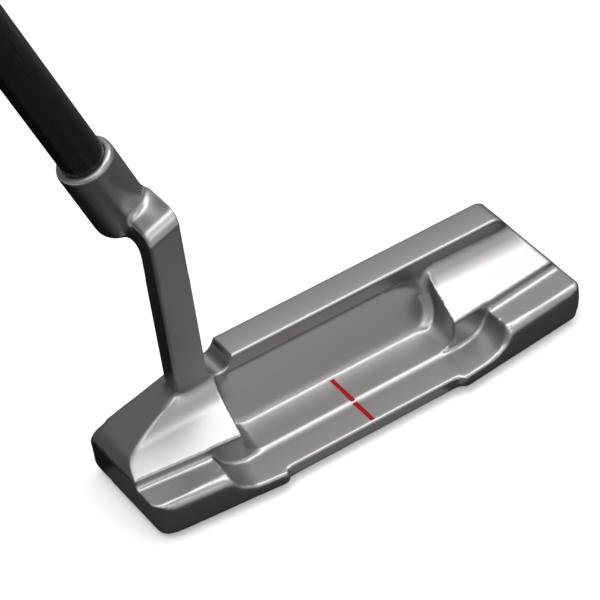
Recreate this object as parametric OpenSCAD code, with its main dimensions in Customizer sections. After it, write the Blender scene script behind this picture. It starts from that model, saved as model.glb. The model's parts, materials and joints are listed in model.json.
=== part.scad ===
// Blade putter with a plumber's neck, right-handed, standing at address on its sole.
// Frame: X runs heel to toe, +Y points at the target, Z is up.
// The origin is on the flat of the sole, under the sight line.

/* [Head] */
// Height of the topline above the sole
face_h = 20.4; // [17:0.1:26]
// Loft of the face, degrees
loft = 3; // [1:0.5:5]
// Width of the topline, front to back
topline_w = 8.2; // [6.5:0.1:10]
// Sight line to the heel end
heel_x = 53.2; // [48:0.1:60]
// Sight line to the widest point of the toe
toe_x = 58.2; // [54:0.1:66]
// Height of the toe's widest point
toe_belly_z = 7.8; // [5:0.1:10]
// Sight line to the toe end of the topline
topline_toe_x = 50.2; // [46:0.1:53]
// Tuck of the heel end, from its widest point down to the sole
heel_tuck = 0.8; // [0:0.1:3]
// Tuck of the toe end, from its widest point down to the sole
toe_tuck = 3.4; // [1:0.1:6]
// Slope of the heel shoulder below the neck, degrees
shoulder_slope = 16; // [12:0.5:22]
// Height of the shoulder at the neck's heel side
shoulder_z = 16.5; // [14:0.1:18]
// Climb of the shoulder towards the back, degrees
shoulder_tilt = 3.5; // [0:0.5:6]
// Radius where the shoulder rolls over into the heel end
heel_r = 4.5; // [3:0.1:6]
// Leading edge of the face ahead of the origin
lead_y = 12; // [8:0.5:16]
// Length of the rising part of the sole
relief_l = 10; // [6:0.5:14]
// Rise of the sole at the back of the flange
sole_relief = 1.3; // [0.4:0.1:2]

/* [Flange and bumpers] */
// Leading edge to the back of the flange
flange_y = 31; // [28:0.1:36]
// Height of the flange's top
flange_z = 4.5; // [3.5:0.1:6]
// Half the length of the flange between its two notches
flange_half = 22; // [18:0.1:25]
// Depth of the notch between the flange and each bumper
notch_d = 1.6; // [0.8:0.1:2.5]
// Angle at which each bumper sweeps forward, degrees
sweep = 6.3; // [3:0.1:9]
// Height of each bumper's rear tier
tier_z = 9.3; // [7.5:0.1:10.5]
// Depth of the rear tier
tier_d = 8.9; // [6:0.1:11]
// Radius of the rear tier's back edge
tier_r = 2; // [1:0.1:3]
// Height of the step between the rear tier and the ramp
step_h = 2; // [1:0.1:3]
// Slope of the ramp, degrees
ramp_slope = 16.5; // [10:0.5:22]
// Radius of the hollow where the ramp turns up towards the blade
ramp_r = 12; // [6:0.5:16]
// Slope of the ramp's hollow before the blade's back, degrees
hollow_slope = 40; // [30:1:45]
// Length of the ramp's hollow, out from the blade's back
hollow_l = 3.1; // [2.5:0.1:3.5]
// Half width of the valley between the rear tiers
valley_half = 36.2; // [33:0.1:42]
// Shift of the valley towards the toe
valley_shift = 0.8; // [0:0.1:2]
// Radius of the valley's sides
valley_r = 7; // [5:0.1:9]

/* [Cavity] */
// Half width of the cavity
cavity_half = 27; // [24:0.1:30]
// Turn of the cavity's sides, degrees
cavity_turn = 9.5; // [0:0.5:12]
// Radius between the cavity's sides and its floor
cavity_r = 5; // [3:0.1:6]
// Rise of the cavity floor above the flange, at the step
floor_step = 0.3; // [0.2:0.05:0.6]
// Slope of the cavity floor, degrees
floor_slope = 1.5; // [1:0.5:6]
// Height of the plain band below the topline
band_h = 4.2; // [3:0.1:6]
// Lean of the cavity's front wall, degrees
wall_lean = 23; // [18:0.5:28]
// Depth of the pocket sunk into the front wall
pocket_d = 0.6; // [0.3:0.05:1]
// Radius of the pocket's ends
pocket_r = 5; // [3:0.1:6]
// Reach of the pocket past the cavity's heel side
pocket_heel = 1.5; // [0:0.1:3]

/* [Sight line] */
// Width of the sight line
line_w = 0.95; // [0.6:0.05:1.5]
// Depth of the sight line's groove
line_d = 0.35; // [0.2:0.05:0.6]

/* [Neck] */
// Width of the riser, heel to toe
riser_w = 7.8; // [6:0.1:10]
// Thickness of the riser, front to back
riser_t = 5.5; // [4:0.1:7]
// Sight line to the toe side of the riser
riser_x = 26.5; // [24:0.1:30]
// Radius of the notch between the riser and the topline
neck_notch_r = 3.2; // [2.5:0.1:3.8]
// Lean of the shaft from the vertical, degrees
lie_lean = 20; // [15:0.5:22]
// Outside diameter of the hosel
hosel_od = 13; // [12.4:0.1:14]
// Length of the hosel
hosel_l = 20.8; // [18:0.1:26]
// Height of the hosel's top, at the shaft axis
hosel_z = 74.7; // [66:0.1:84]
// Thickness of the bridge between riser and hosel
bridge_t = 5; // [4:0.1:7]
// Outer radius of the neck's bend
bend_r = 3; // [2.5:0.1:5]
// Shaft axis ahead of the leading edge
shaft_y = 4.9; // [2:0.1:7]
// Sight line to the shaft axis at the hosel's top
shaft_x = 38.7; // [36:0.1:41]
// Depth of the bore in the hosel
bore_depth = 17; // [12:0.5:17.5]

/* [Shaft] */
// Diameter of the shaft's tip
tip_d = 9.9; // [8.6:0.1:10.4]
// Diameter of the shaft's butt
butt_d = 14.7; // [13.5:0.1:15.5]
// Wall of the shaft
shaft_wall = 0.55; // [0.4:0.05:1]
// Length of the shaft, from its tip in the bore to its butt under the cap
shaft_l = 797.5; // [700:0.5:950]
// Length of the plain tip section, above the hosel
tip_l = 185; // [120:1:220]
// Number of steps in the shaft
steps = 12; // [6:1:14]
// Plain length of the shaft between the last step and the grip
plain_l = 8.5; // [2:0.5:30]
// Thickness of the glue between shaft and bore
glue_t = 0.1; // [0.05:0.01:0.2]
// Length of the cork in the shaft's tip
cork_l = 12; // [6:0.5:20]

/* [Grip] */
// Length of the grip with its cap
grip_l = 267; // [240:1:275]
// Width of the grip at its mouth
mouth_d = 18.5; // [17.5:0.1:21]
// Width of the grip at its butt
butt_w = 27; // [24:0.1:32]
// Drop of the pistol heel behind the shaft at the butt
pistol_d = 5; // [2:0.1:8]
// Length of the pistol heel, from the butt
pistol_l = 147; // [120:1:180]
// Flat of the grip, ahead of the shaft axis at the mouth
flat_mouth = 8.6; // [8.3:0.1:9.5]
// Flat of the grip, ahead of the shaft axis at the butt
flat_butt = 10.6; // [9.2:0.1:12]
// Thickness of the tape under the grip
tape_t = 0.25; // [0.1:0.01:0.4]
// Thickness of the cap at the grip's end
cap_t = 4; // [3:0.1:6]
// Diameter of the vent hole in the cap
vent_d = 3; // [2:0.1:4]

/* [Hidden] */
$fn = 64;
arc_steps = 8;

// Overruns of the cutting shapes: past everything, past one face, and a hair
far = 200;
over = 1;
eps = 0.01;

// Small edge radii of the head
sole_r = 3;
belly_r = 3;
edge_r = 0.8;
topline_toe_r = 2;
step_r = 1.2;
step_jog = 0.2;
pocket_lip = 0.3;
pocket_side = 1.5;
pocket_open = 1.6;
line_gap = 0.3;
notch_r = 0.8;
heel_corner_r = 5.5;
toe_corner_r = 4;
hosel_edge_r = 1;
hosel_foot_r = 3;
bend_inner_r = 2.2;
neck_inset = 0.2;
riser_proud = 0.05;
ramp_bite = 0.9;
root_r = 2.8;
bridge_reach = 2.9;
bridge_taper = 1.3;

// Head sections, as distances behind the leading edge and heights above the sole
face_set = face_h * tan(loft);
back_y = face_set + topline_w;
bumper_back = (flange_y + notch_d) * cos(sweep) + flange_half * sin(sweep);
step_back = bumper_back - tier_d;
step_mid_y = step_line(cavity_half) - 2 * step_jog;
ramp_z = tier_z + step_h;
floor_z = flange_z + floor_step;
band_z = face_h - band_h;
floor_rise = tan(floor_slope);
wall_rise = tan(wall_lean);
foot_y = (back_y + (band_z - floor_z - step_mid_y * floor_rise) * wall_rise) / (1 - floor_rise * wall_rise);
foot_z = floor_at(foot_y);
pocket_l = (band_z - foot_z) / cos(wall_lean);
pocket_x = (step_mid_y - (back_y + foot_y) / 2) * tan(cavity_turn);
heel_end_z = shoulder_z - (heel_x - riser_x - riser_w) * tan(shoulder_slope);
riser_foot_z = shoulder_z + riser_w * tan(shoulder_slope);

// Hosel and bore
hosel_top = [-shaft_x, shaft_y, hosel_z];
hosel_r = hosel_od / 2;
bore_d = tip_d + 2 * glue_t;
riser_back = back_y + shaft_y + riser_proud;

// Shaft and grip stations along the shaft axis, from zero at the hosel's top
tip_s = -bore_depth;
butt_s = tip_s + shaft_l;
end_s = butt_s + cap_t;
mouth_s = end_s - grip_l;
step_cone = 3;
step_l = (mouth_s - plain_l - tip_l) / steps;
step_gain = (butt_d - tip_d) / 2 / steps;
tape_d = butt_d + 2 * tape_t;
pistol_s = end_s - pistol_l;
pistol_lean = atan(pistol_d / pistol_l);
pistol_root = 67;
mouth_r = 1.2;

// Distance from the leading edge back to the step and to the bumper's back, at a distance x from the middle
function step_line(x) = step_back / cos(sweep) - x * tan(sweep);
function rear_line(x) = bumper_back / cos(sweep) - x * tan(sweep);
// Height of the cavity floor at a distance y behind the leading edge
function floor_at(y) = floor_z + (step_mid_y - y) * floor_rise;
// Radius of the grip's taper at a station
function grip_r(s) = mouth_d / 2 + (butt_w - mouth_d) / 2 * (s - mouth_s) / grip_l;

function unit(v) = v / norm(v);
function turned(v, a) = [v.x * cos(a) - v.y * sin(a), v.x * sin(a) + v.y * cos(a)];

// One rounded corner of an outline: b is the corner, a and c its neighbours, b[2] its radius
function corner(a, b, c) =
    let (p = [b.x, b.y], u = unit([a.x, a.y] - p), v = unit([c.x, c.y] - p))
    let (half = acos(u * v) / 2, hub = p + unit(u + v) * b[2] / sin(half))
    let (start = p + u * b[2] / tan(half) - hub)
    let (way = u.x * v.y - u.y * v.x < 0 ? 1 : -1)
    b[2] == 0 ? [p] : [for (k = [0:arc_steps]) hub + turned(start, way * (180 - 2 * half) * k / arc_steps)];

// An outline of [x, y, radius] corners, with the corners rounded
function rounded(pts) =
    let (n = len(pts))
    [for (i = [0:n - 1]) each corner(pts[(i + n - 1) % n], pts[i], pts[(i + 1) % n])];

// Extrudes a YZ outline along X
module along_x(pts, from_x, to_x) {
    translate([from_x, 0, 0])
        rotate([90, 0, 90])
            linear_extrude(to_x - from_x)
                polygon(rounded(pts));
}

// Extrudes an XZ outline along Y
module along_y(pts, from_y, to_y) {
    translate([0, to_y, 0])
        rotate([90, 0, 0])
            linear_extrude(to_y - from_y)
                polygon(rounded(pts));
}

// Extrudes an XY outline along Z
module along_z(pts, from_z, to_z) {
    translate([0, 0, from_z])
        linear_extrude(to_z - from_z)
            polygon(rounded(pts));
}

// Moves children that are measured from the leading edge into the part's frame
module from_lead() {
    translate([0, lead_y, 0])
        children();
}

// Places children on the shaft axis, with Z along it and zero at the hosel's top
module on_axis() {
    translate(hosel_top)
        rotate([0, -lie_lean, 0])
            children();
}

// A tube on the shaft axis
module sleeve(outer_d, inner_d, from_s, to_s) {
    translate([0, 0, from_s])
        difference() {
            cylinder(d = outer_d, h = to_s - from_s);
            translate([0, 0, -over])
                cylinder(d = inner_d, h = to_s - from_s + 2 * over);
        }
}

// The head seen square to the face: sole, toe, topline, shoulder and heel
module front_block() {
    along_y([
        [-heel_x + heel_tuck, 0, sole_r],
        [toe_x - toe_tuck, 0, sole_r],
        [toe_x, toe_belly_z, belly_r],
        [topline_toe_x, face_h, topline_toe_r],
        [-heel_x, face_h, 0]
    ], -far, far);
}

// Everything below the heel shoulder, which climbs a little towards the back
module shoulder_block() {
    rotate([-shoulder_tilt, 0, 0])
        along_y([
            [-heel_x, -far, 0],
            [far, -far, 0],
            [far, far, 0],
            [-riser_x + neck_notch_r, far, 0],
            [-riser_x, riser_foot_z, 0],
            [-heel_x, heel_end_z, heel_r]
        ], -far, far);
}

// The head seen from above, with a notch at each end of the flange
module plan_block() {
    notch_x = flange_half + notch_d / 2;
    along_z([
        [toe_x, over, 0],
        [-heel_x, over, 0],
        [-heel_x, -rear_line(heel_x), heel_corner_r],
        [-notch_x, -rear_line(notch_x), notch_r],
        [-flange_half, -flange_y, notch_r],
        [flange_half, -flange_y, notch_r],
        [notch_x, -rear_line(notch_x), notch_r],
        [toe_x, -rear_line(toe_x), toe_corner_r]
    ], -over, face_h + over);
}

// The blade behind the face, up to the topline
module blade() {
    along_x([
        [0, 0, edge_r],
        [-face_set, face_h, edge_r / 2],
        [-back_y, face_h, edge_r],
        [-back_y, 0, 0]
    ], -far, far);
}

// One bumper, with its ramp, step and rear tier; side is 1 at the toe and -1 at the heel
module bumper(side) {
    ramp_front = back_y - ramp_bite;
    rotate([0, 0, side * sweep])
        along_x([
            [-ramp_front, 0, 0],
            [-ramp_front, ramp_z + (step_back - ramp_front) * tan(ramp_slope), 0],
            [-step_back, ramp_z, 0],
            [-step_back, tier_z, step_r],
            [-bumper_back, tier_z, tier_r],
            [-bumper_back, 0, 0]
        ], side < 0 ? -far : -flange_half, side < 0 ? flange_half : far);
}

// Hollow between one ramp and the back of the blade
module ramp_fillet(side) {
    fillet_lean = atan(tan(ramp_slope) * tan(sweep));
    fillet_z = ramp_z + (step_back - back_y * cos(sweep)) * tan(ramp_slope);
    reach = 2 * hollow_l + ramp_r * tan((hollow_slope - ramp_slope) / 2);
    turn_z = -hollow_l * tan(ramp_slope);
    translate([0, -back_y, fillet_z])
        rotate([0, side * fillet_lean, 0])
            along_x([
                [over, reach, 0],
                [0, reach, 0],
                [0, turn_z + hollow_l * tan(hollow_slope), root_r],
                [-hollow_l, turn_z, ramp_r],
                [-reach, -reach * tan(ramp_slope), 0],
                [-reach, -reach, 0],
                [over, -reach, 0]
            ], side < 0 ? -far : 0, side < 0 ? 0 : far);
}

// Everything behind the step, on one side of the middle
module behind_step(side) {
    rotate([0, 0, side * sweep])
        translate([side < 0 ? -far : 0, step_jog - step_back - far, 0])
            cube(far);
}

// Valley between the rear tiers, behind the step
module valley() {
    intersection() {
        along_y([
            [valley_shift - valley_half, far, 0],
            [valley_shift - valley_half, flange_z, valley_r],
            [valley_shift + valley_half, flange_z, valley_r],
            [valley_shift + valley_half, far, 0]
        ], -far, 0);
        union() {
            for (side = [-1, 1])
                behind_step(side);
            translate([-cavity_half, -step_mid_y - far, 0])
                cube([2 * cavity_half, far, far]);
        }
    }
}

// Cavity behind the blade, open to the top and the back
module cavity() {
    intersection() {
        translate([0, -step_mid_y, floor_z - eps])
            rotate([-floor_slope, 0, 0])
                rotate([0, 0, -cavity_turn])
                    along_y([
                        [-cavity_half, far, 0],
                        [-cavity_half, 0, cavity_r],
                        [cavity_half, 0, cavity_r],
                        [cavity_half, far, 0]
                    ], -far, far);
        along_x([
            [-back_y, far, 0],
            [-back_y, band_z, 0],
            [-foot_y, foot_z, edge_r],
            [-far, floor_at(far), 0],
            [-far, far, 0]
        ], -far, far);
    }
}

// Wedge that lifts the back of the sole off the ground
module sole_cut() {
    relief_y = flange_y - relief_l;
    along_x([
        [-relief_y, -over, 0],
        [-relief_y, 0, 0],
        [-far, (far - relief_y) * sole_relief / relief_l, 0],
        [-far, -over, 0]
    ], -far, far);
}

// Shallow pocket with round ends, sunk into the cavity's front wall
module pocket() {
    heel_end = -cavity_half - pocket_heel;
    toe_end = cavity_half - pocket_side;
    translate([pocket_x, -foot_y, foot_z])
        rotate([-wall_lean, 0, 0])
            along_y([
                [heel_end, pocket_lip, pocket_r],
                [toe_end, pocket_lip, pocket_r],
                [toe_end, pocket_l + pocket_lip, pocket_r],
                [heel_end, pocket_l + pocket_lip, pocket_r]
            ], -pocket_open, pocket_d);
}

// Riser and bridge: a flat bar that rises from the heel, bends forward and runs into the hosel
module neck_bar() {
    bar_floor = neck_inset - hosel_l;
    bar_top = bar_floor + bridge_t;
    intersection() {
        on_axis()
            along_x([
                [bridge_reach + over, bar_floor, 0],
                [bridge_reach + over, bar_top, 0],
                [-riser_back, bar_top, bend_r],
                [-riser_back, -far, 0],
                [riser_t - riser_back, -far, 0],
                [riser_t - riser_back, bar_floor, bend_inner_r]
            ], -far, far);
        on_axis()
            along_z([
                [-far, -far, 0],
                [hosel_r + over, -far, 0],
                [hosel_r + over, -bridge_reach, 0],
                [hosel_r - bridge_taper, bridge_reach, 0],
                [-far, bridge_reach, 0]
            ], -far, far);
        translate([-riser_x - riser_w, -far, shoulder_z - riser_w / 2])
            cube([riser_w, 2 * far, hosel_z]);
    }
}

// Root of the riser beside the topline, which the neck notch rounds off
module neck_root() {
    root_z = shoulder_z - riser_w / 2;
    translate([-riser_x - over, neck_inset - back_y, root_z])
        cube([neck_notch_r + over, riser_t - 2 * neck_inset, face_h - root_z - 3 * neck_inset]);
}

// Round notch between the riser and the topline, cut a little into the riser
module neck_notch() {
    translate([neck_notch_r - riser_x - neck_inset, over, face_h])
        rotate([90, 0, 0])
            cylinder(r = neck_notch_r, h = back_y + 2 * over);
}

module hosel() {
    on_axis()
        rotate_extrude()
            polygon(rounded([
                [0, -hosel_l, 0],
                [hosel_r, -hosel_l, hosel_foot_r],
                [hosel_r, 0, hosel_edge_r],
                [0, 0, 0]
            ]));
}

// One stretch of the sight line, from one distance behind the leading edge to another
module sight_stretch(from_y, from_z, to_y, to_z, above) {
    along_x([
        [-from_y, from_z - line_d, 0],
        [-from_y, from_z + above, 0],
        [-to_y, to_z + above, 0],
        [-to_y, to_z - line_d, 0]
    ], -line_w / 2, line_w / 2);
}

module cavity_stretch(above) {
    from_y = foot_y + line_gap;
    sight_stretch(from_y, floor_at(from_y), step_mid_y, floor_z, above);
}

module flange_stretch(above) {
    to_y = flange_y - edge_r;
    sight_stretch(step_mid_y + line_w / 2, flange_z, to_y, flange_z, above);
}

module head() {
    color("silver")
        from_lead()
            difference() {
                union() {
                    intersection() {
                        front_block();
                        shoulder_block();
                        plan_block();
                        union() {
                            blade();
                            for (side = [-1, 1]) {
                                bumper(side);
                                ramp_fillet(side);
                            }
                        }
                    }
                    neck_root();
                    neck_bar();
                    hosel();
                }
                valley();
                cavity();
                pocket();
                neck_notch();
                sole_cut();
                cavity_stretch(over);
                flange_stretch(over);
                on_axis()
                    translate([0, 0, -bore_depth])
                        cylinder(d = bore_d, h = bore_depth + over);
            }
}

module cavity_line() {
    color("firebrick")
        from_lead()
            cavity_stretch(0);
}

module flange_line() {
    color("firebrick")
        from_lead()
            flange_stretch(0);
}

module shaft() {
    tip_r = tip_d / 2;
    outer = [
        [tip_r, tip_s],
        for (i = [0:steps - 1]) each [
            [tip_r + i * step_gain, tip_l + i * step_l],
            [tip_r + (i + 1) * step_gain, tip_l + i * step_l + step_cone]
        ],
        [butt_d / 2, butt_s]
    ];
    last = len(outer) - 1;
    inner = [for (i = [0:last]) outer[last - i] - [shaft_wall, 0]];
    color("#141414")
        from_lead()
            on_axis()
                rotate_extrude()
                    polygon(concat(outer, inner));
}

module hosel_glue() {
    color("khaki")
        from_lead()
            on_axis()
                sleeve(bore_d, tip_d, tip_s, 0);
}

module tip_cork() {
    color("peru")
        from_lead()
            on_axis()
                translate([0, 0, tip_s])
                    cylinder(d = tip_d - 2 * shaft_wall, h = cork_l);
}

module grip_tape() {
    color("ivory")
        from_lead()
            on_axis()
                sleeve(tape_d, butt_d, mouth_s, butt_s);
}

// Outside of the grip: a taper with a flat for the thumbs and a pistol heel at the butt
module grip_form() {
    intersection() {
        union() {
            rotate_extrude()
                polygon(rounded([
                    [0, mouth_s, 0],
                    [mouth_d / 2, mouth_s, mouth_r],
                    [butt_w / 2, end_s, mouth_r],
                    [0, end_s, 0]
                ]));
            translate([0, 0, pistol_s])
                rotate([0, -pistol_lean, 0])
                    translate([0, 0, -pistol_root])
                        cylinder(r1 = grip_r(pistol_s - pistol_root) - mouth_r, r2 = butt_w / 2, h = grip_l);
        }
        rotate([90, 0, 0])
            linear_extrude(2 * far, center = true)
                polygon([
                    [-far, mouth_s],
                    [flat_mouth, mouth_s],
                    [flat_butt, end_s],
                    [-far, end_s]
                ]);
    }
}

module grip() {
    color("#1b1b1b")
        from_lead()
            on_axis()
                difference() {
                    grip_form();
                    translate([0, 0, butt_s])
                        cylinder(r = far, h = 2 * cap_t);
                    translate([0, 0, mouth_s - over])
                        cylinder(d = tape_d, h = grip_l + 2 * over);
                }
}

module grip_cap() {
    color("#222222")
        from_lead()
            on_axis()
                difference() {
                    grip_form();
                    translate([0, 0, mouth_s - over])
                        cylinder(r = far, h = butt_s - mouth_s + over);
                    translate([0, 0, butt_s - over])
                        cylinder(d = vent_d, h = 2 * cap_t);
                }
}

head();
cavity_line();
flange_line();
shaft();
hosel_glue();
tip_cork();
grip_tape();
grip();
grip_cap();
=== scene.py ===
import json
import math

import bpy
import numpy as np
from mathutils import Matrix, Vector


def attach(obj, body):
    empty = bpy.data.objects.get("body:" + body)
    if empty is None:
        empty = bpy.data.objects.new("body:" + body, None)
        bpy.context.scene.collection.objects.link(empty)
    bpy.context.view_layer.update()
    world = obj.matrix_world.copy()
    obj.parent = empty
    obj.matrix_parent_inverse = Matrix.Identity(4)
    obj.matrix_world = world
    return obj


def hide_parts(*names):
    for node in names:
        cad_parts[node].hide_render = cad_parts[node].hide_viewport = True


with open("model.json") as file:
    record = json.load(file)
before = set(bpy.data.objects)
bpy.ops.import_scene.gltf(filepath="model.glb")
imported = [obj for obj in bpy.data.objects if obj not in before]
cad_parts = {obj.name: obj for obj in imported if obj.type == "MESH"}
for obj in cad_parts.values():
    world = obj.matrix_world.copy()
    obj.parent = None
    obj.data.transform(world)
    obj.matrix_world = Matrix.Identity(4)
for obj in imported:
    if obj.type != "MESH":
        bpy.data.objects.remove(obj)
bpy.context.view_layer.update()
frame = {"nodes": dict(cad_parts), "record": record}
mm = 0.001


# Head: blade, flange, bumpers and plumber's neck, milled in one piece from a stainless
# steel billet. Its edges are broken by hand and its inner corners are left round by the
# cutter, and the whole is bead-blasted to an even satin.
weld = 0.001 * mm
cell = 0.25 * mm
triangle_limit = 190000
broken_edge_passes = 18
inner_corner = 0.002 * mm
crown, topline_mid, topline_half = 0.2 * mm, 6.8 * mm, 4.1 * mm
topline_low, topline_heel = 19.5 * mm, -24 * mm
toe_lean, toe_rim = 0.635, 62 * mm
bridge_low, hosel_rim = 46 * mm, 8 * mm
bore_d, plug_margin, cut_past = 10.1 * mm, 0.5 * mm, 1 * mm
groove_margin, groove_clear = 0.1 * mm, 1 * mm
sharp_angle = math.radians(60)
far = math.inf
anywhere = (-far, far)
steel_hex = "#A7A6A5"


def linear(hex_colour):
    """Linear RGBA of an sRGB hex colour."""
    parts = [int(hex_colour[i:i + 2], 16) / 255 for i in (1, 3, 5)]
    return [c / 12.92 if c <= 0.04045 else ((c + 0.055) / 1.055) ** 2.4 for c in parts] + [1.0]


def work_on(piece):
    """Makes one object the only selected and active one."""
    bpy.ops.object.select_all(action="DESELECT")
    piece.select_set(True)
    bpy.context.view_layer.objects.active = piece


def merged_copy(node, name):
    """A new object with a node's shape, its loose triangles joined."""
    piece = bpy.data.objects.new(name, frame["nodes"][node].data.copy())
    bpy.context.scene.collection.objects.link(piece)
    piece.data.materials.clear()
    work_on(piece)
    bpy.ops.object.mode_set(mode="EDIT")
    bpy.ops.mesh.select_all(action="SELECT")
    bpy.ops.mesh.remove_doubles(threshold=weld)
    bpy.ops.object.mode_set(mode="OBJECT")
    return piece


def modify(piece, kind, **settings):
    """Adds a modifier with its settings and applies it."""
    work_on(piece)
    modifier = piece.modifiers.new(kind.lower(), kind)
    for name, value in settings.items():
        setattr(modifier, name, value)
    bpy.ops.object.modifier_apply(modifier=modifier.name)


def join(piece, *others):
    """Joins other objects into one piece."""
    work_on(piece)
    for other in others:
        other.select_set(True)
    bpy.ops.object.join()


def points(piece):
    """Vertex places of an object's mesh, one row each."""
    flat = np.empty(3 * len(piece.data.vertices))
    piece.data.vertices.foreach_get("co", flat)
    return flat.reshape(-1, 3)


def put_points(piece, place):
    """Moves an object's vertices to new places."""
    piece.data.vertices.foreach_set("co", place.ravel())
    piece.data.update()


def grown(piece, margin, up=0.0):
    """Grows a sight line's bar by a margin on every side, and by more at its top."""
    place = points(piece)
    middle = (place.min(0) + place.max(0)) / 2
    level = np.polyval(np.polyfit(place[:, 1], place[:, 2], 1), place[:, 1])
    away = np.sign(place - np.column_stack((np.tile(middle[:2], (len(place), 1)), level)))
    place += away * margin
    place[away[:, 2] > 0, 2] += up
    put_points(piece, place)
    return piece


def mark(piece, name, chosen):
    """A vertex group of the chosen vertices."""
    group = piece.vertex_groups.get(name) or piece.vertex_groups.new(name=name)
    group.remove(range(len(piece.data.vertices)))
    group.add(np.flatnonzero(chosen).tolist(), 1.0, "REPLACE")
    return name


def bends(piece):
    """How far each vertex lies below the mean of its neighbours: above zero in inner corners."""
    mesh = piece.data
    place = points(piece)
    ends = np.empty(2 * len(mesh.edges), int)
    mesh.edges.foreach_get("vertices", ends)
    ends = ends.reshape(-1, 2)
    pull = np.zeros_like(place)
    count = np.zeros(len(place))
    for here, there in (ends.T, ends.T[::-1]):
        np.add.at(pull, here, place[there])
        np.add.at(count, here, 1)
    normal = np.empty(3 * len(place))
    mesh.vertex_normals.foreach_get("vector", normal)
    return ((pull / count[:, None] - place) * normal.reshape(-1, 3)).sum(1)


def soften(piece, where, passes, batch, inner_only):
    """Smooths one region in batches, or only its inner corners, as a round cutter leaves them."""
    for _ in range(passes // batch):
        chosen = where(*points(piece).T)
        if inner_only:
            chosen &= bends(piece) > inner_corner
        modify(piece, "SMOOTH", factor=0.5, iterations=batch,
               vertex_group=mark(piece, "soft", chosen))


clip_mount = next(m for m in frame["record"]["mounts"] if m["name"] == "shaft_clip")
clip, axis = Vector(clip_mount["pos_m"]), Vector(clip_mount["axis"])


def stations(node):
    """Lowest and highest place of a node along the shaft axis, from the clip mount."""
    along = points(frame["nodes"][node]) @ np.array(axis) - clip.dot(axis)
    return along.min(), along.max()


def on_axis(station):
    """Placement of something drawn about Z at the origin onto the shaft axis."""
    lean = Vector((0, 0, 1)).rotation_difference(axis).to_matrix().to_4x4()
    return Matrix.Translation(clip + axis * station) @ lean


def bar(sides, radius, length, station):
    """A round bar on the shaft axis, its middle at a station."""
    bpy.ops.object.select_all(action="DESELECT")
    bpy.ops.mesh.primitive_cylinder_add(vertices=sides, radius=radius, depth=length)
    piece = bpy.context.object
    piece.data.transform(on_axis(station))
    return piece


def within(x=anywhere, y=anywhere, z=anywhere, off=anywhere):
    """A test for places between limits in mm; off is how far they lie to either side."""
    limits = [(low * mm, high * mm) for low, high in (x, y, z, off)]
    return lambda px, py, pz: np.all(
        [(place > low) & (place < high)
         for place, (low, high) in zip((px, py, pz, abs(px)), limits)], axis=0)


def near(centre, reach):
    """A test for places within reach of one place, in mm."""
    cx, cy, cz = (c * mm for c in centre)
    return lambda x, y, z: (x - cx) ** 2 + (y - cy) ** 2 + (z - cz) ** 2 < (reach * mm) ** 2


def in_toe_rim(x, y, z):
    """The leaning rim round the toe's end."""
    return x + toe_lean * z > toe_rim


def in_neck(x, y, z):
    """Where the bridge turns from the riser into the hosel."""
    return (z > bridge_low) & (x * axis.x + z * axis.z < hosel_top + clip.dot(axis) - hosel_rim)


head = merged_copy("head", "putter_head")
line_nodes = ("cavity_line", "flange_line")
join(head, *[grown(merged_copy(node, "groove_fill"), groove_margin) for node in line_nodes])
bore_floor, hosel_top = stations("hosel_glue")
bore_mid, bore_l = (hosel_top + bore_floor) / 2, hosel_top - bore_floor
join(head, bar(96, bore_d / 2 + plug_margin, bore_l, bore_mid))
modify(head, "REMESH", mode="VOXEL", voxel_size=cell)
modify(head, "SMOOTH", factor=0.5, iterations=broken_edge_passes)

# Each row: a place, its passes, passes in a batch, whether only inner corners.
small_radii = [
    (within(y=(-far, -6), z=(-far, 24)), 40, 20, True),  # corners behind the step
    (within(y=(-far, -14), z=(5.5, far), off=(29, 43)), 60, 20, False),  # rear tiers' ends
    (within(y=(-far, -16.5), z=(6, far), off=(30, far)), 60, 20, False),  # their back edges
    (within(y=(-far, -17), z=(3.4, far)), 40, 20, False),  # the flange's back edge
    (within(y=(-3.6, -0.8), z=(4, 6.4), off=(-far, 24)), 60, 20, False),  # pocket's foot
    (within((19, 31), (-5, 3.5), (5, 18.5)), 40, 20, False),  # pocket's toe end
    (within(y=(-far, 9), z=(-far, 3.2)), 60, 20, False),  # the sole's edge
    (within(x=(-far, -48), y=(4, far)), 100, 20, False),  # the face's heel corner
    (in_toe_rim, 20, 20, False),
]
for row in small_radii:
    soften(head, *row)
place = points(head)
on_top = (place[:, 2] > topline_low) & (place[:, 0] > topline_heel)
place[on_top, 2] -= crown * ((place[on_top, 1] - topline_mid) / topline_half) ** 2
put_points(head, place)
modify(head, "DECIMATE", ratio=triangle_limit / 2 / len(head.data.polygons))
large_radii = [
    (within((-42, -22), (-8, 4), (11, 32)), 400, 40, True),  # riser's foot on the heel ramp
    (within((22, far), (-2, 4), (12, 20)), 480, 40, True),  # toe ramp's root
    (in_neck, 120, 40, True),
    (in_neck, 20, 20, False),
    (near((-31, 10, 61), 8), 400, 40, True),  # the hollow between bridge and hosel
    (near((-34.2, 2.8, 17.6), 4.5), 80, 20, False),  # the corner beside the riser's foot
]
for row in large_radii:
    soften(head, *row)

cutters = [grown(merged_copy(node, "groove"), 0.0, up=groove_clear) for node in line_nodes]
cutters.append(bar(128, bore_d / 2, bore_l + 2 * cut_past, bore_mid + cut_past))
for cutter in cutters:
    modify(head, "BOOLEAN", operation="DIFFERENCE", solver="MANIFOLD", object=cutter)
    bpy.data.objects.remove(cutter)
head.vertex_groups.clear()
work_on(head)
bpy.ops.object.shade_smooth_by_angle(angle=sharp_angle)
modify(head, "WEIGHTED_NORMAL", mode="FACE_AREA", weight=50, keep_sharp=True)


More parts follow.
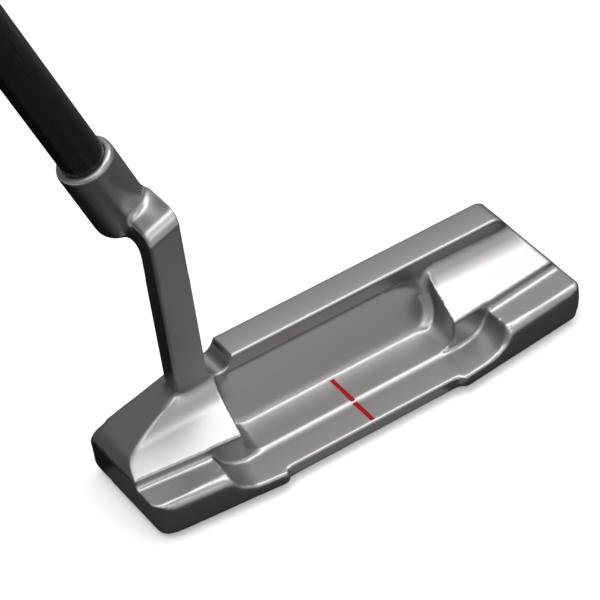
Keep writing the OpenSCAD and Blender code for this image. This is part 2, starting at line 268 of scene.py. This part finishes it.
def add(tree, kind, links=None, inputs=None, **settings):
    """Adds a node with its settings, socket values and incoming links."""
    node = tree.nodes.new(kind)
    for name, value in settings.items():
        setattr(node, name, value)
    for socket, value in (inputs or {}).items():
        node.inputs[socket].default_value = value
    for socket, source in (links or {}).items():
        tree.links.new(source, node.inputs[socket])
    return node


def new_material(name):
    """A material with an empty node tree and its output node."""
    material = bpy.data.materials.new(name)
    material.use_nodes = True
    material.node_tree.nodes.clear()
    return material, material.node_tree, add(material.node_tree, "ShaderNodeOutputMaterial")


# Bead-blasting spreads every highlight into a soft satin gradient with no scratches. The
# real pits are some 0.05 mm wide, too fine to show, so they are drawn coarser.
blast_grain = 0.3 * mm
satin, tree, output = new_material("bead_blasted_stainless_steel")
place = add(tree, "ShaderNodeTexCoord")
grain = add(tree, "ShaderNodeTexNoise", {"Vector": place.outputs["Object"]},
            {"Scale": 1 / blast_grain, "Detail": 2.0, "Roughness": 0.6})
bump = add(tree, "ShaderNodeBump", {"Height": grain.outputs["Fac"]},
           {"Strength": 0.03, "Distance": 0.02 * mm})
rough = add(tree, "ShaderNodeMapRange", {"Value": grain.outputs["Fac"]},
            {"From Min": 0.3, "From Max": 0.7, "To Min": 0.3, "To Max": 0.34})
steel = add(tree, "ShaderNodeBsdfPrincipled",
            {"Roughness": rough.outputs["Result"], "Normal": bump.outputs["Normal"]},
            {"Base Color": linear(steel_hex), "Metallic": 1.0})
tree.links.new(steel.outputs["BSDF"], output.inputs["Surface"])
head.data.materials.clear()
head.data.materials.append(satin)
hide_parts("head")
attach(head, "root")


# Sight line: two short grooves across the flange and the cavity floor, filled by hand with
# red enamel and wiped level.
enamel_mottle = 1.5 * mm

# Enamel filled by hand is a deep, even red, with faint thick and thin places.
red, tree, output = new_material("red_enamel_fill")
place = add(tree, "ShaderNodeTexCoord")
mottle = add(tree, "ShaderNodeTexNoise", {"Vector": place.outputs["Object"]},
             {"Scale": 1 / enamel_mottle, "Detail": 3.0})
tint = add(tree, "ShaderNodeMixRGB", {"Fac": mottle.outputs["Fac"]},
           {"Color1": linear("#9C0004"), "Color2": linear("#AE0006")})
level = add(tree, "ShaderNodeBump", {"Height": mottle.outputs["Fac"]},
            {"Strength": 0.2, "Distance": 0.03 * mm})
paint = add(tree, "ShaderNodeBsdfPrincipled",
            {"Base Color": tint.outputs["Color"], "Normal": level.outputs["Normal"]},
            {"Roughness": 0.5, "Specular IOR Level": 0.12})
tree.links.new(paint.outputs["BSDF"], output.inputs["Surface"])


def finish_node(node, material):
    """Gives a CAD node that keeps its shape a better material."""
    for slot in frame["nodes"][node].material_slots:
        slot.material = material


for node in line_nodes:
    finish_node(node, red)


# Tip cork: a turned plug of agglomerated cork, pushed into the shaft's tip before the tip
# is glued in, to keep the glue out of the tube.
granule = 1.3 * mm

# Pressed granules give the cork a patchwork of light and dark browns with small pits.
cork, tree, output = new_material("agglomerated_cork")
place = add(tree, "ShaderNodeTexCoord")
grains = add(tree, "ShaderNodeTexVoronoi", {"Vector": place.outputs["Object"]},
             {"Scale": 1 / granule})
shade = add(tree, "ShaderNodeMixRGB", {"Fac": grains.outputs["Color"]},
            {"Color1": linear("#8A5E36"), "Color2": linear("#C79A68")})
pit = add(tree, "ShaderNodeBump", {"Height": grains.outputs["Distance"]},
          {"Strength": 0.5, "Distance": 0.2 * mm})
bark = add(tree, "ShaderNodeBsdfPrincipled",
           {"Base Color": shade.outputs["Color"], "Normal": pit.outputs["Normal"]},
           {"Roughness": 0.85})
tree.links.new(bark.outputs["BSDF"], output.inputs["Surface"])
finish_node("tip_cork", cork)


# Shaft: a seamless steel tube, drawn thinner in short steps towards its tip, polished along
# its length and plated gloss black.
tip_d, butt_d, wall = 9.9 * mm, 14.7 * mm, 0.55 * mm
plain_tip, step_pitch, step_cone, step_count = 185 * mm, 27 * mm, 3 * mm, 12
step_shoulder, shoulder_share = 0.35 * mm, 0.06
seam_angle = math.radians(40)
black_hex = "#0B0B0C"
tip, butt = stations("shaft")


def close_up(piece):
    """Joins the seams of a piece drawn about Z and sets it on the shaft axis, faces outwards."""
    work_on(piece)
    bpy.ops.object.mode_set(mode="EDIT")
    bpy.ops.mesh.select_all(action="SELECT")
    bpy.ops.mesh.remove_doubles(threshold=weld)
    bpy.ops.mesh.normals_make_consistent(inside=False)
    bpy.ops.object.mode_set(mode="OBJECT")
    piece.data.transform(on_axis(0))
    bpy.ops.object.shade_smooth_by_angle(angle=seam_angle)


def spun(name, profile, sides=112):
    """A closed profile of (radius, station) corners, spun about the shaft axis."""
    bpy.ops.object.select_all(action="DESELECT")
    bpy.ops.mesh.primitive_circle_add(vertices=len(profile), fill_type="NOTHING")
    piece = bpy.context.object
    piece.name = name
    for vertex, (radius, station) in zip(piece.data.vertices, profile):
        vertex.co = (radius, 0, station)
    bpy.ops.object.mode_set(mode="EDIT")
    bpy.ops.mesh.select_all(action="SELECT")
    bpy.ops.mesh.spin(steps=sides, angle=2 * math.pi, center=(0, 0, 0), axis=(0, 0, 1))
    bpy.ops.object.mode_set(mode="OBJECT")
    close_up(piece)
    return piece


gain = (butt_d - tip_d) / 2 / step_count
skin = [(tip_d / 2, tip)]
for step in range(step_count):
    radius, foot = tip_d / 2 + step * gain, hosel_top + plain_tip + step * step_pitch
    skin += [(radius, foot - step_shoulder),
             (radius + gain * shoulder_share, foot + step_shoulder),
             (radius + gain * (1 - shoulder_share), foot + step_cone - step_shoulder),
             (radius + gain, foot + step_cone + step_shoulder)]
skin.append((butt_d / 2, butt))
bore = [(radius - wall, station) for radius, station in reversed(skin)]
shaft = spun("shaft_tube", skin + bore)


def along_axis(tree, stretch=1.0):
    """Coordinates with Z along the shaft axis, shortened to draw patterns out along it."""
    place = add(tree, "ShaderNodeTexCoord")
    return add(tree, "ShaderNodeMapping", {"Vector": place.outputs["Object"]},
               {"Location": clip, "Rotation": (0, -math.acos(axis.z), 0),
                "Scale": (1, 1, stretch)}, vector_type="TEXTURE")


# Polishing along the tube draws each reflection into long streaks in the black plate. The
# real lines are some 0.05 mm apart, too fine to show, so they are drawn coarser.
polish_line, polish_stretch = 0.5 * mm, 60
plated, tree, output = new_material("gloss_black_plated_steel")
lines = add(tree, "ShaderNodeTexNoise",
            {"Vector": along_axis(tree, polish_stretch).outputs["Vector"]},
            {"Scale": 1 / polish_line, "Detail": 3.0})
rub = add(tree, "ShaderNodeMapRange", {"Value": lines.outputs["Fac"]},
          {"From Min": 0.3, "From Max": 0.7, "To Min": 0.2, "To Max": 0.3})
fine = add(tree, "ShaderNodeBump", {"Height": lines.outputs["Fac"]},
           {"Strength": 0.05, "Distance": 0.02 * mm})
plate = add(tree, "ShaderNodeBsdfPrincipled",
            {"Roughness": rub.outputs["Result"], "Normal": fine.outputs["Normal"]},
            {"Base Color": linear(black_hex), "Coat Weight": 0.25, "Coat Roughness": 0.12})
tree.links.new(plate.outputs["BSDF"], output.inputs["Surface"])
shaft.data.materials.append(plated)
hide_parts("shaft")
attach(shaft, "root")


# Hosel glue: a thin sleeve of two-part epoxy, tinted dark, that holds the shaft in its bore
# and shows only as a hairline round the shaft.
resin_flow = 2 * mm

# Cured epoxy is smooth and a little cloudy, a brown that is nearly black.
epoxy, tree, output = new_material("dark_tinted_epoxy")
place = add(tree, "ShaderNodeTexCoord")
flow = add(tree, "ShaderNodeTexNoise", {"Vector": place.outputs["Object"]},
           {"Scale": 1 / resin_flow, "Detail": 2.0})
cure = add(tree, "ShaderNodeMixRGB", {"Fac": flow.outputs["Fac"]},
           {"Color1": linear("#2A2724"), "Color2": linear("#3B3732")})
resin = add(tree, "ShaderNodeBsdfPrincipled", {"Base Color": cure.outputs["Color"]},
            {"Roughness": 0.4})
tree.links.new(resin.outputs["BSDF"], output.inputs["Surface"])
finish_node("hosel_glue", epoxy)


# Grip tape: double-sided paper tape wound on the shaft's butt, its crepe running round the
# shaft. It holds the grip, and is wetted to let the grip slide on.
crepe = 5.027 * mm
wave_turn = 20  # radians that a wave texture turns through in each unit, at scale 1

# Crepe gives the cream paper uneven wrinkles that catch the light.
tape, tree, output = new_material("crepe_paper_tape")
wrinkle = add(tree, "ShaderNodeTexWave", {"Vector": along_axis(tree).outputs["Vector"]},
              {"Scale": 2 * math.pi / (wave_turn * crepe), "Distortion": 6.0, "Detail": 3.0},
              bands_direction="Z")
tone = add(tree, "ShaderNodeMixRGB", {"Fac": wrinkle.outputs["Fac"]},
           {"Color1": linear("#CFC2A6"), "Color2": linear("#E4DAC4")})
crinkle = add(tree, "ShaderNodeBump", {"Height": wrinkle.outputs["Fac"]},
              {"Strength": 0.4, "Distance": 0.05 * mm})
paper = add(tree, "ShaderNodeBsdfPrincipled",
            {"Base Color": tone.outputs["Color"], "Normal": crinkle.outputs["Normal"]},
            {"Roughness": 0.8})
tree.links.new(paper.outputs["BSDF"], output.inputs["Surface"])
finish_node("grip_tape", tape)


# Grip: moulded black rubber with a flat for the thumbs and a pistol heel below the hands,
# slid over the taped shaft. The mould gives the flat its dimples and the rest a diamond of
# fine grooves.
mouth_d, butt_w, grip_bore = 18.5 * mm, 27 * mm, 15.2 * mm
flat_mouth, flat_butt = 8.6 * mm, 10.6 * mm
flat_corner = 24  # a higher power leaves a sharper corner beside the flat
least_cos = 0.05  # keeps the flat from running off to infinity at the sides
pistol_drop, pistol_l, pistol_root = 5 * mm, 147 * mm, 67 * mm
pistol_blend, blend_limit = 0.3 * mm, 0.05 * mm
rim_r = 1.2 * mm
cap_seam = 0.3 * mm
mould_shrink = 0.1 * mm
dimple_r, dimple_depth, dimple_pitch, dimple_row = 1.3 * mm, 0.45 * mm, 6 * mm, 4.2 * mm
groove_depth, groove_half, groove_pitch, grooves_round = 0.3 * mm, 0.4 * mm, 7 * mm, 22
groove_edge, groove_fade = 0.5, 0.12  # cosine of the angle where the grooves end, and its fade
plain_mouth, plain_butt, plain_fade = 16 * mm, 9 * mm, 3 * mm
rim_rings, skin_rings = 5, 540
mouth, _ = stations("grip")
_, end = stations("grip_cap")
grip_l = end - mouth
around = 160
angle = np.arange(around) * 2 * math.pi / around


def grip_outline(station):
    """Radius of the grip's plain outside at each angle; angle zero is the middle of the flat."""
    share = (station - mouth) / grip_l
    taper = mouth_d / 2 + (butt_w - mouth_d) / 2 * share
    rise = station - (end - pistol_l)
    root_share = (grip_l - pistol_l - pistol_root) / grip_l
    root_r = mouth_d / 2 + (butt_w - mouth_d) / 2 * root_share - rim_r
    heel_r = root_r + (butt_w / 2 - root_r) * max(rise + pistol_root, 0) / grip_l
    drop = pistol_drop * rise / pistol_l
    heel = -drop * np.cos(angle) + np.sqrt(heel_r ** 2 - (drop * np.sin(angle)) ** 2)
    body = np.logaddexp(taper / pistol_blend, heel / pistol_blend) * pistol_blend
    body -= pistol_blend * math.log(2)
    body = np.maximum(body, np.maximum(taper, heel) - blend_limit)
    flat = (flat_mouth + (flat_butt - flat_mouth) * share) / np.maximum(np.cos(angle), least_cos)
    return (body ** -flat_corner + flat ** -flat_corner) ** (-1 / flat_corner) - mould_shrink


def grip_relief(station, outline):
    """Depth of the moulded pattern at each angle: dimples on the flat, grooves elsewhere."""
    across = outline * np.sin(angle)
    row = (station - mouth) / dimple_pitch
    depth = np.zeros(around)
    for column in (-1, 0, 1):
        off = (row + 0.5 * (column % 2)) % 1 - 0.5
        away = np.hypot(off * dimple_pitch, across - column * dimple_row)
        depth = np.where((away < dimple_r) & (np.cos(angle) > 0),
                         dimple_depth * (1 - (away / dimple_r) ** 2), depth)
    pitch = 2 * math.pi * outline / grooves_round
    skew = math.cos(math.atan2(pitch.mean(), groove_pitch))
    turn = grooves_round * angle / (2 * math.pi)
    grooved = np.cos(angle) < groove_edge
    for way in (-1, 1):
        off = (turn + way * (station - mouth) / groove_pitch + 0.5) % 1 - 0.5
        groove = groove_depth * np.exp(-(off * pitch * skew / groove_half) ** 2)
        depth = np.where(grooved, np.maximum(depth, groove), depth)
    edge = np.clip((groove_edge - np.cos(angle)) / groove_fade, 0, 1)
    depth = np.where(grooved, depth * edge, depth)
    from_mouth = np.clip((station - mouth - plain_mouth) / plain_fade, 0, 1)
    from_butt = np.clip((butt - plain_butt - station) / plain_fade, 0, 1)
    return depth * from_mouth * from_butt


def wrapped(name, rings):
    """A closed skin through rings of (station, radii), the last joined to the first."""
    bpy.ops.object.select_all(action="DESELECT")
    bpy.ops.mesh.primitive_grid_add(x_subdivisions=around, y_subdivisions=len(rings), size=2)
    piece = bpy.context.object
    piece.name = name
    grid = points(piece)
    turn = np.rint((grid[:, 0] + 1) / 2 * around).astype(int) % around
    ring = np.rint((grid[:, 1] + 1) / 2 * len(rings)).astype(int) % len(rings)
    radius = np.array([np.broadcast_to(radii, around) for _, radii in rings])[ring, turn]
    station = np.array([station for station, _ in rings])[ring]
    place = np.column_stack((radius * np.cos(angle[turn]), radius * np.sin(angle[turn]), station))
    piece.data.vertices.foreach_set("co", place.ravel())
    close_up(piece)
    return piece


def rounding(depth):
    """How far a rounded rim has come in, at a depth below its end."""
    return rim_r - math.sqrt(max(rim_r ** 2 - max(rim_r - depth, 0) ** 2, 0))


rings = []
for turn in np.linspace(0, math.pi / 2, rim_rings):
    station = mouth + rim_r * (1 - math.cos(turn))
    rings.append((station, grip_outline(station) - rounding(station - mouth)))
for station in np.linspace(mouth + rim_r, butt - cap_seam, skin_rings)[1:]:
    outline = grip_outline(station)
    rings.append((station, outline - grip_relief(station, outline)))
rings.append((butt, grip_outline(butt) - cap_seam))
for station in (butt, (mouth + butt) / 2, mouth):
    rings.append((station, grip_bore / 2))
grip = wrapped("rubber_grip", rings)

# Moulded rubber is a dull black that hardly shines, a little greyer in broad patches. Its
# real grain is some 0.1 mm wide, too fine to show, so it is drawn coarser.
rubber_grain, rubber_bloom = 0.35 * mm, 14 * mm
rubber, tree, output = new_material("moulded_black_rubber")
place = add(tree, "ShaderNodeTexCoord")
pebble = add(tree, "ShaderNodeTexNoise", {"Vector": place.outputs["Object"]},
             {"Scale": 1 / rubber_grain, "Detail": 3.0, "Roughness": 0.55})
bloom = add(tree, "ShaderNodeTexNoise", {"Vector": place.outputs["Object"]},
            {"Scale": 1 / rubber_bloom})
hue = add(tree, "ShaderNodeMixRGB", {"Fac": bloom.outputs["Fac"]},
          {"Color1": linear("#141415"), "Color2": linear("#1F1F20")})
matt = add(tree, "ShaderNodeMapRange", {"Value": pebble.outputs["Fac"]},
           {"From Min": 0.3, "From Max": 0.7, "To Min": 0.55, "To Max": 0.72})
skin_bump = add(tree, "ShaderNodeBump", {"Height": pebble.outputs["Fac"]},
                {"Strength": 0.35, "Distance": 0.05 * mm})
moulded = add(tree, "ShaderNodeBsdfPrincipled",
              {"Base Color": hue.outputs["Color"], "Roughness": matt.outputs["Result"],
               "Normal": skin_bump.outputs["Normal"]}, {"Specular IOR Level": 0.4})
tree.links.new(moulded.outputs["BSDF"], output.inputs["Surface"])
grip.data.materials.append(rubber)
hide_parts("grip")
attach(grip, "root")


# Grip cap: the grip's closed end, moulded of harder rubber with a rounded rim, and a vent
# hole that lets the air out as the grip slides on.
vent_r, vent_lip = 1.5 * mm, 0.4 * mm
lip_share = 0.3
cap_rim_rings = 8
face_shares = (0.8, 0.6, 0.4, 0.2)

rings = [(butt, vent_r), (butt, grip_outline(butt) - cap_seam),
         (butt + cap_seam, grip_outline(butt + cap_seam))]
for turn in np.linspace(0, math.pi / 2, cap_rim_rings):
    station = end - rim_r * math.cos(turn)
    rings.append((station, grip_outline(station) - rounding(end - station)))
lip_r = vent_r + vent_lip
for share in face_shares:
    rings.append((end, lip_r + (grip_outline(end) - rim_r - lip_r) * share))
rings += [(end, lip_r), (end - vent_lip * lip_share, vent_r + vent_lip * lip_share),
          (end - vent_lip, vent_r)]
cap = wrapped("rubber_cap", rings)

# Harder rubber takes a slightly smoother face from the mould, so its rim has a faint sheen.
cap_grain = 0.6 * rubber_grain
hard, tree, output = new_material("hard_black_rubber")
place = add(tree, "ShaderNodeTexCoord")
stipple = add(tree, "ShaderNodeTexNoise", {"Vector": place.outputs["Object"]},
              {"Scale": 1 / cap_grain, "Detail": 2.0})
press = add(tree, "ShaderNodeBump", {"Height": stipple.outputs["Fac"]},
            {"Strength": 0.25, "Distance": 0.03 * mm})
sheen = add(tree, "ShaderNodeMapRange", {"Value": stipple.outputs["Fac"]},
            {"From Min": 0.3, "From Max": 0.7, "To Min": 0.45, "To Max": 0.58})
ebonite = add(tree, "ShaderNodeBsdfPrincipled",
              {"Roughness": sheen.outputs["Result"], "Normal": press.outputs["Normal"]},
              {"Base Color": linear("#121213"), "Specular IOR Level": 0.45})
tree.links.new(ebonite.outputs["BSDF"], output.inputs["Surface"])
cap.data.materials.append(hard)
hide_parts("grip_cap")
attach(cap, "root")


# Floor: a wide sheet of white paper, matt and plain. It shines a little where the camera or
# a glossy surface sees it, so that it stays white under the low studio light and still
# takes the shadow.
paper_size = 12
paper_hex = "#F4F4F4"
paper_shine = 0.25

bpy.ops.object.select_all(action="DESELECT")
bpy.ops.mesh.primitive_plane_add(size=paper_size)
floor = bpy.context.object
floor.name = "floor"
pale, tree, output = new_material("matt_white_paper")
path = add(tree, "ShaderNodeLightPath")
shown = add(tree, "ShaderNodeMath",
            {0: path.outputs["Is Camera Ray"], 1: path.outputs["Is Glossy Ray"]},
            operation="MAXIMUM")
seen = add(tree, "ShaderNodeMath",
           {0: shown.outputs["Value"], 1: path.outputs["Is Transmission Ray"]},
           operation="MAXIMUM")
strength = add(tree, "ShaderNodeMapRange", {"Value": seen.outputs["Value"]},
               {"To Max": paper_shine})
shine = add(tree, "ShaderNodeEmission", {"Strength": strength.outputs["Result"]})
sheet = add(tree, "ShaderNodeBsdfDiffuse", None, {"Color": linear(paper_hex)})
lit = add(tree, "ShaderNodeAddShader", {0: sheet.outputs["BSDF"], 1: shine.outputs["Emission"]})
tree.links.new(lit.outputs["Shader"], output.inputs["Surface"])
floor.data.materials.append(pale)


# Cards: matt grey and black boards that only glossy surfaces see, as a product photographer
# sets them round a bright part. They draw the dark tones along its walls.
card_lift = 0.05 * mm
heel_edge, toe_edge, reach = -0.3, 0.42, 0.3
middle_y, black_edge = 0.01, -0.03
light_half, light_back, light_front = 0.02, -0.08, -0.015
heel_near, heel_far, heel_height = (0.05, 0.9), (-0.9, 0.6), 1.0


def card(name, corners, colour):
    """A matt board through four corners that shows in glossy surfaces and nowhere else."""
    mesh = bpy.data.meshes.new(name)
    mesh.from_pydata(corners, [], [list(range(len(corners)))])
    board = bpy.data.objects.new(name, mesh)
    bpy.context.scene.collection.objects.link(board)
    dull, tree, output = new_material("matt_" + name)
    matt = add(tree, "ShaderNodeBsdfDiffuse", None, {"Color": linear(colour)})
    tree.links.new(matt.outputs["BSDF"], output.inputs["Surface"])
    mesh.materials.append(dull)
    board.visible_camera = False
    board.visible_diffuse = False
    board.visible_shadow = False
    board.visible_transmission = False


def lying(x_low, x_high, y_low, y_high, lift=card_lift):
    """Corners of a card that lies on the floor."""
    return [(x_low, y_low, lift), (x_high, y_low, lift), (x_high, y_high, lift),
            (x_low, y_high, lift)]


card("back_card", lying(heel_edge, toe_edge, -reach, middle_y), "#4A4D4C")
card("light_card", lying(-light_half, light_half, light_back, light_front, 2 * card_lift), "#848A88")
card("front_card", lying(black_edge, toe_edge, middle_y, reach), "#555857")
card("black_card", lying(heel_edge, black_edge, middle_y, reach), "#0C0C0C")
card("heel_card", [(*heel_near, 0), (*heel_far, 0), (*heel_far, heel_height),
                   (*heel_near, heel_height)], "#5C5C5E")


# Light: one long soft box above the head, in an even, dim room. Broad glows in the room's
# walls and ceiling stand for its window and for the white boards about the table.
white_hex = "#FFFEFE"
box_l, box_w, box_far, box_level = 1.45, 0.48, 1.25, 3.1
box_side = Vector((0.12, 0.18, 0.95)).normalized()

world = bpy.data.worlds.new("studio")
bpy.context.scene.world = world
world.use_nodes = True
tree = world.node_tree
tree.nodes.clear()
output = add(tree, "ShaderNodeOutputWorld")
look = add(tree, "ShaderNodeTexCoord")


def glow(toward, start, full, low, high):
    """Strength that grows from low to high as the sky turns towards one direction."""
    facing = add(tree, "ShaderNodeVectorMath", {0: look.outputs["Generated"]},
                 {1: Vector(toward).normalized()}, operation="DOT_PRODUCT")
    return add(tree, "ShaderNodeMapRange", {"Value": facing.outputs["Value"]},
               {"From Min": start, "From Max": full, "To Min": low, "To Max": high},
               interpolation_type="SMOOTHSTEP").outputs["Result"]


total = glow((0, 0, 1), 0.0, 0.6, 0.17, 0.48)  # the room, brighter above
for toward, start, full, level in (
        ((0.3, -0.9, 0.3), 0.5, 0.95, 0.46),  # a broad window behind the camera
        ((0.25, 0.7, 0.66), 0.85, 1.0, 0.14),  # the far wall, seen in the level surfaces
        ((0.55, -0.1, 0.83), 0.95, 0.995, 1.6),  # a board above the toe, for its ramp
        ((-0.38, -0.15, 0.91), 0.92, 0.99, 1.5),  # a board above the heel, for the bridge
        ((-0.1, -0.68, 0.73), 0.95, 0.99, 1.5)):  # a board by the camera, for the bend
    glowing = glow(toward, start, full, 0.0, level)
    total = add(tree, "ShaderNodeMath", {0: total, 1: glowing}, operation="ADD").outputs["Value"]
sky = add(tree, "ShaderNodeBackground", {"Strength": total}, {"Color": linear(white_hex)})
tree.links.new(sky.outputs["Background"], output.inputs["Surface"])

run = Vector((1, 0, 0))
run = (run - run.dot(box_side) * box_side).normalized()
facing_down = Matrix((run, box_side.cross(run), box_side)).transposed().to_4x4()
bpy.ops.object.light_add(type="AREA")
lamp = bpy.context.object
lamp.name = "soft_box"
lamp.matrix_world = Matrix.Translation(box_far * box_side) @ facing_down
lamp.data.shape = "RECTANGLE"
lamp.data.size, lamp.data.size_y = box_l, box_w
lamp.data.energy = box_level * math.pi * box_l * box_w


# Camera: a long lens looking down on the head from behind its heel, tilted a little, so that
# the shaft runs out of the frame at the upper left.
aim = Vector((-1.4, 3.9, 24.6)) * mm
azimuth, elevation, roll = (math.radians(a) for a in (-27.57, 39.63, -8.72))
distance = 0.647

turn = (Matrix.Rotation(azimuth, 4, "Z") @ Matrix.Rotation(math.pi / 2 - elevation, 4, "X")
        @ Matrix.Rotation(roll, 4, "Z"))
bpy.ops.object.camera_add()
camera = bpy.context.object
camera.matrix_world = Matrix.Translation(aim) @ turn @ Matrix.Translation((0, 0, distance))
camera.data.lens = 181.5
camera.data.sensor_width = 36
camera.data.clip_start = 0.01
bpy.context.scene.camera = camera
bpy.context.scene.view_settings.view_transform = "Standard"
